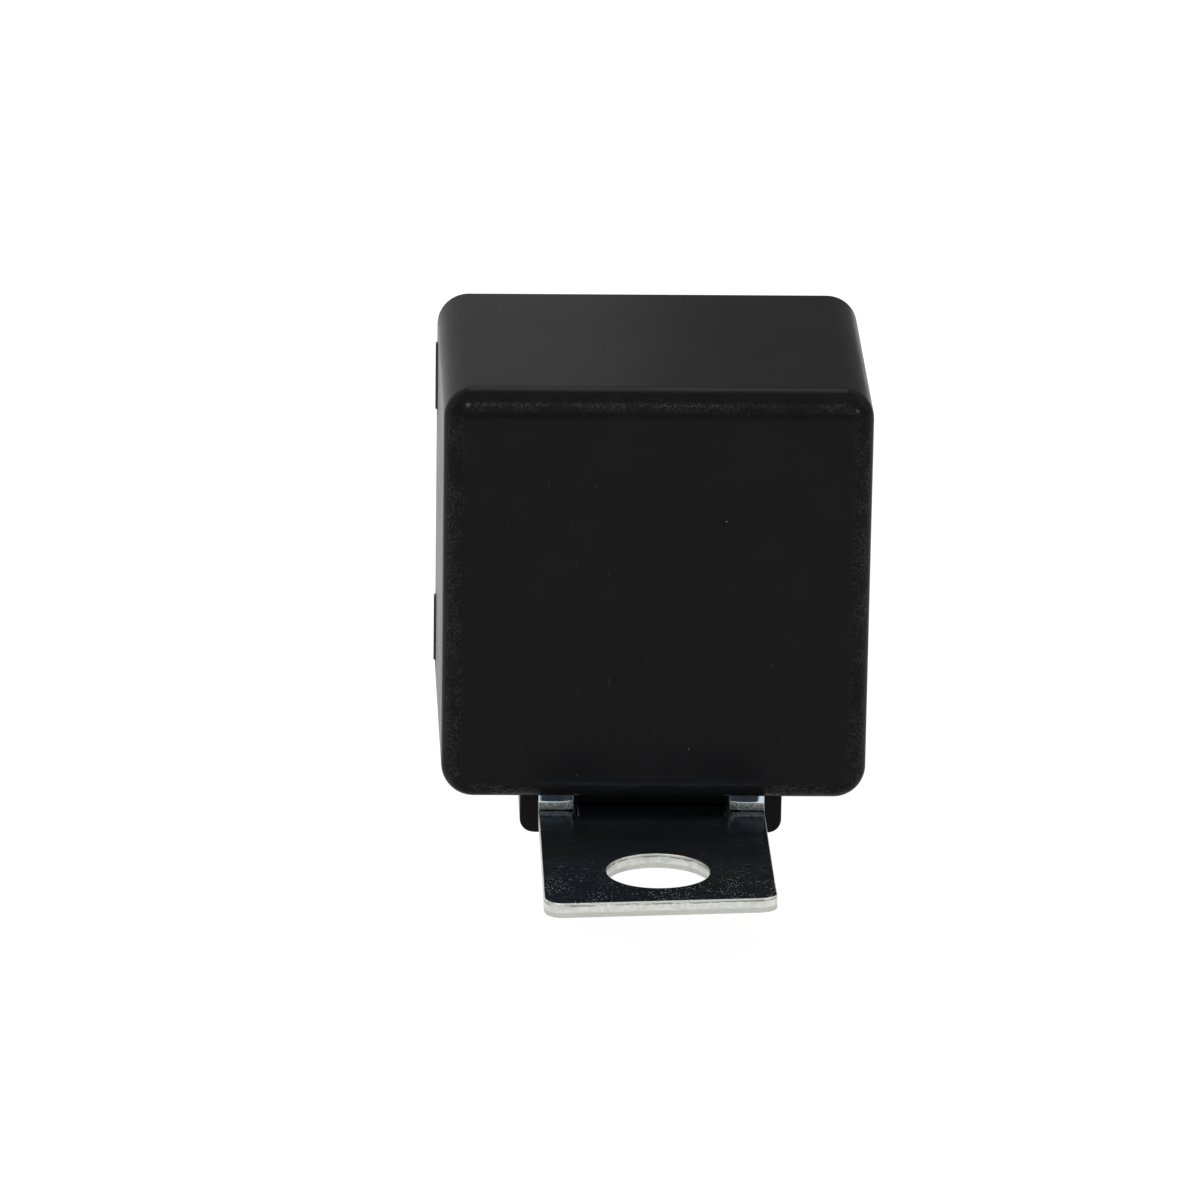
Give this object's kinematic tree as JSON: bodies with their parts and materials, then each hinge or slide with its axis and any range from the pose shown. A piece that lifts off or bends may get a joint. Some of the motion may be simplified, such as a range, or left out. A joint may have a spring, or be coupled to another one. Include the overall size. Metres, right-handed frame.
{
  "type": "automotive relay",
  "caption": "Plug-in changeover relay for vehicle wiring, with a square moulded cap, flat blades and a steel strap with a hole for fixing it to a panel.",
  "frame": {"origin": "centre of the strap's mounting hole, on the strap's mounting face", "axes": "+Z along the hole's axis, from the mounting face towards the cap; +Y from the strap's free end towards the blades' tips; +X across the cap"},
  "size_m": [0.0284, 0.0496, 0.0315],
  "materials": {
    "cap_plastic": "black moulded glass-filled nylon, fine eroded texture with a dull sheen",
    "base_plastic": "black moulded thermoplastic, satin",
    "strap_zinc": "bright zinc-plated steel, lightly scratched",
    "blade_tin": "tin-plated copper alloy, satin",
    "magnet_iron": "nickel-flashed soft iron, satin",
    "bobbin_plastic": "natural moulded plastic",
    "copper_wire": "enamelled copper wire",
    "resistor_coat": "lacquered resistor body",
    "tinned_wire": "tinned wire",
    "spring_bronze": "rolled bronze strip",
    "contact_silver": "silver alloy contact face",
    "rivet_steel": "plated rivet"
  },
  "bodies": {
    "housing": {"cap": "cap_plastic", "mounting_bracket": "strap_zinc", "base": "base_plastic", "terminal_30": "blade_tin", "terminal_85": "blade_tin", "terminal_86": "blade_tin", "terminal_87": "blade_tin", "terminal_87a": "blade_tin", "yoke": "magnet_iron", "core": "magnet_iron", "bobbin": "bobbin_plastic", "winding": "copper_wire", "coil_leads": "copper_wire", "resistor_body": "resistor_coat", "resistor_leads": "tinned_wire", "spring_rivets": "rivet_steel", "no_contact": "contact_silver", "nc_contact": "contact_silver"},
    "armature": {"armature": "magnet_iron", "armature_rivets": "rivet_steel", "contact_spring": "spring_bronze", "moving_contact": "contact_silver"}
  },
  "joints": [
    {"name": "armature_rock", "type": "hinge", "parent": "housing", "child": "armature", "pos_m": [0, 0.0138, 0.0063], "axis": [-1, 0, 0], "range_deg": [0, 2.2], "stiffness_Nm_per_rad": 0.12, "springref_deg": -2.86, "deforming": ["contact_spring"]}
  ]
}
